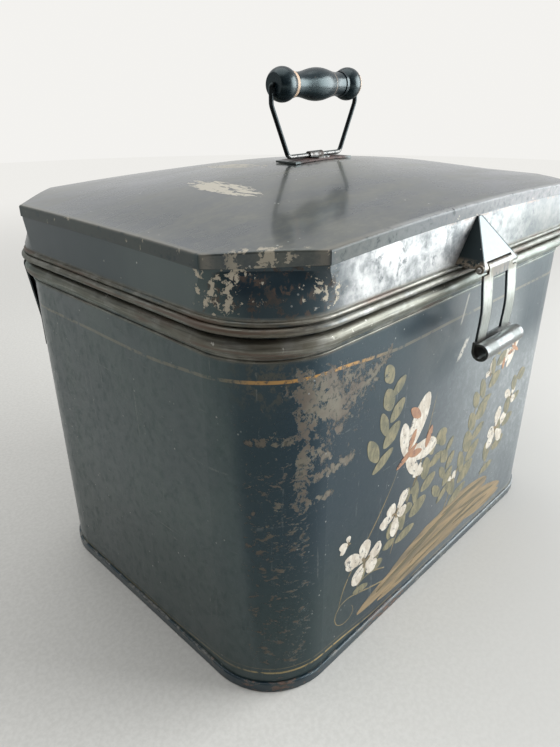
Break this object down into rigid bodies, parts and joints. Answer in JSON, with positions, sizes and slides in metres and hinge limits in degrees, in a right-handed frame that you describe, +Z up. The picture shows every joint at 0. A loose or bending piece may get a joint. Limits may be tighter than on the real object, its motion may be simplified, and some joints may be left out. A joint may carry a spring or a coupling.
{
  "type": "deed box",
  "caption": "Tinplate deed box with rounded corners, hinged domed lid with clipped corners, wire bail with turned wooden grip, and a slotted hanging hasp under a wedge hood.",
  "frame": {"origin": "middle of the foot, on the surface that the box stands on", "axes": "+Z up, +X along the front to the right as seen from the front, -Y towards the front, where the hasp hangs"},
  "size_m": [0.3668, 0.3, 0.3582],
  "materials": {
    "japan_body": "very dark blue-black japanning, semi-gloss, worn at the beads and flaking low on the front",
    "japan_base": "black japanning, worn to metal along the foot",
    "japan_hinges": "black japanning, rubbed at the edges",
    "steel_pins": "dull bare steel",
    "iron_rivets": "dark oxidised iron",
    "japan_lid_band": "dark japanning, chipped to tin and rust at the near corner",
    "steel_wire": "plain steel wire, hidden in the roll",
    "japan_lid_top": "glossy black japanning with pale rubbed marks",
    "rusty_plate": "rusty maroon-brown japanning",
    "worn_tin": "bright worn tinned sheet",
    "black_wire": "black wire",
    "turned_wood": "ebonised turned wood with bare rings",
    "japan_hasp": "black japanning",
    "japan_hasp_plate": "black japanning, rubbed brown along the edges"
  },
  "bodies": {
    "box": {"body_wall": "japan_body", "base_panel": "japan_base", "hinge_left_body_leaf": "japan_hinges", "hinge_right_body_leaf": "japan_hinges", "hinge_left_pin": "steel_pins", "hinge_right_pin": "steel_pins", "body_leaf_rivets": "iron_rivets"},
    "lid": {"lid_band": "japan_lid_band", "lid_rim_wire": "steel_wire", "lid_top": "japan_lid_top", "hinge_left_lid_leaf": "japan_hinges", "hinge_right_lid_leaf": "japan_hinges", "lid_leaf_rivets": "iron_rivets", "handle_plate": "rusty_plate", "handle_saddle": "worn_tin", "saddle_rivets": "iron_rivets", "hasp_hood": "japan_hasp", "hasp_pin": "steel_pins"},
    "bail": {"handle_bail": "black_wire"},
    "grip": {"handle_grip": "turned_wood"},
    "hasp": {"hasp_plate": "japan_hasp_plate"}
  },
  "joints": [
    {"name": "lid_hinge", "type": "hinge", "parent": "box", "child": "lid", "pos_m": [0, 0.13696, 0.2421], "axis": [-1, 0, 0], "range_deg": [0, 110]},
    {"name": "bail_fold", "type": "hinge", "parent": "lid", "child": "bail", "pos_m": [0, 0, 0.30205], "axis": [1, 0, 0], "range_deg": [-82, 82]},
    {"name": "grip_spin", "type": "hinge", "parent": "bail", "child": "grip", "pos_m": [0, 0, 0.34735], "axis": [1, 0, 0], "continuous": true},
    {"name": "hasp_swing", "type": "hinge", "parent": "lid", "child": "hasp", "pos_m": [0, -0.147, 0.2503], "axis": [-1, 0, 0], "range_deg": [-22, 110]}
  ]
}
